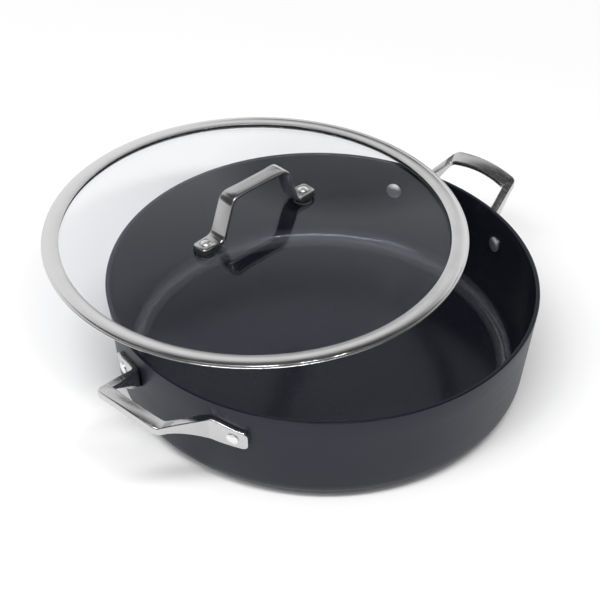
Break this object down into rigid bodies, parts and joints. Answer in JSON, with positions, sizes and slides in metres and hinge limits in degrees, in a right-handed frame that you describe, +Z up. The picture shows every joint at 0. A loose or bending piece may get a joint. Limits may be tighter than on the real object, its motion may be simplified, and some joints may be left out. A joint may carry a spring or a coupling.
{
  "type": "saute pan with lid",
  "caption": "Deep straight-walled saute pan with two cast loop side handles and a domed glass lid in a steel band with a bent strap handle, set askew on the rim.",
  "frame": {"origin": "middle of the pan's flat underside", "axes": "+Z up; X runs through the two side handles, +X to the handle that is far in the picture; the lid is pushed off towards +Y"},
  "size_m": [0.399, 0.3873, 0.1292],
  "materials": {
    "anodised_pan": "hard anodised, satin, dark grey",
    "cast_steel": "cast, satin brushed",
    "strap_steel": "satin brushed",
    "bright_steel": "fine satin to bright",
    "clear_glass": "clear, polished",
    "black_rubber": "matt"
  },
  "bodies": {
    "pan": {"pan_body": "anodised_pan", "right_side_handle": "cast_steel", "left_side_handle": "cast_steel", "right_front_rivet": "bright_steel", "right_back_rivet": "bright_steel", "left_front_rivet": "bright_steel", "left_back_rivet": "bright_steel"},
    "lid": {"lid_glass": "clear_glass", "lid_seal": "black_rubber", "lid_band": "bright_steel", "lid_handle": "strap_steel", "lid_right_rivet": "bright_steel", "lid_left_rivet": "bright_steel", "lid_right_pad": "black_rubber", "lid_left_pad": "black_rubber", "lid_right_bush": "black_rubber", "lid_left_bush": "black_rubber", "lid_right_under_pad": "black_rubber", "lid_left_under_pad": "black_rubber", "lid_right_washer": "bright_steel", "lid_left_washer": "bright_steel"}
  },
  "joints": [
    {"name": "lid_lift", "type": "slide", "parent": "pan", "child": "lid", "axis": [0, 0, 1], "range_m": [0, 0.2]}
  ]
}
